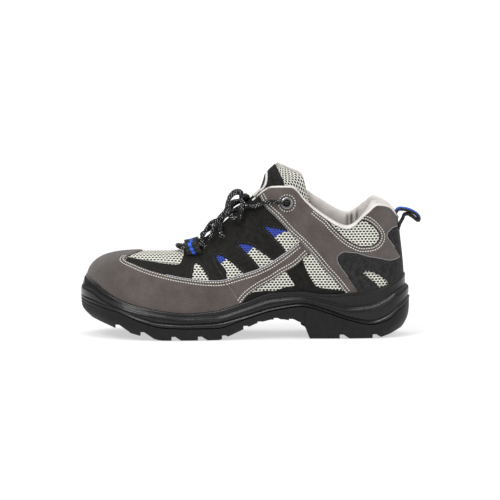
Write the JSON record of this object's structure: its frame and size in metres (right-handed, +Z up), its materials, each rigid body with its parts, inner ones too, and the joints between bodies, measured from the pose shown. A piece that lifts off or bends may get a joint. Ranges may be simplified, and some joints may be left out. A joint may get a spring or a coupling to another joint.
{
  "type": "safety sneaker",
  "caption": "Low-cut safety sneaker for the left foot: cloth and leather upper, padded collar and tongue, laces, lugged rubber sole.",
  "frame": {"origin": "on the floor under the heel tread, 50 mm in front of the sole's back edge", "axes": "+X to the toe, +Y to the outer (lateral) side, +Z up"},
  "size_m": [0.3103, 0.1117, 0.1578],
  "materials": {
    "rubber": "matte moulded rubber",
    "foam": "satin moulded foam",
    "footbed": "matte felted top cloth",
    "mesh_cloth": "open knit mesh over a pale lining",
    "lining": "brushed lining cloth",
    "tongue_cloth": "smooth cloth over padding",
    "nubuck": "matte napped leather",
    "synthetic": "matte synthetic leather",
    "webbing": "woven tape",
    "lace": "round braided cord",
    "eyelet": "dark gloss metal"
  },
  "bodies": {
    "root": {"outsole": "rubber", "midsole": "foam", "insole": "footbed", "upper": "mesh_cloth", "collar_pad": "lining", "tongue": "tongue_cloth", "toe_guard": "nubuck", "side_strap_lateral": "nubuck", "side_strap_medial": "nubuck", "saddle_lateral": "nubuck", "saddle_medial": "nubuck", "collar_quarter": "nubuck", "eyestay_lateral": "synthetic", "eyestay_medial": "synthetic", "heel_counter": "synthetic", "heel_patch": "synthetic", "pull_loop": "webbing", "lace_webbing_lateral": "webbing", "lace_webbing_medial": "webbing", "eyelet_lateral": "eyelet", "eyelet_medial": "eyelet", "lace_crossings": "lace", "lace_knot": "lace", "lace_bow_lateral": "lace", "lace_bow_medial": "lace", "lace_end_lateral": "lace", "lace_end_medial": "lace"}
  },
  "joints": []
}
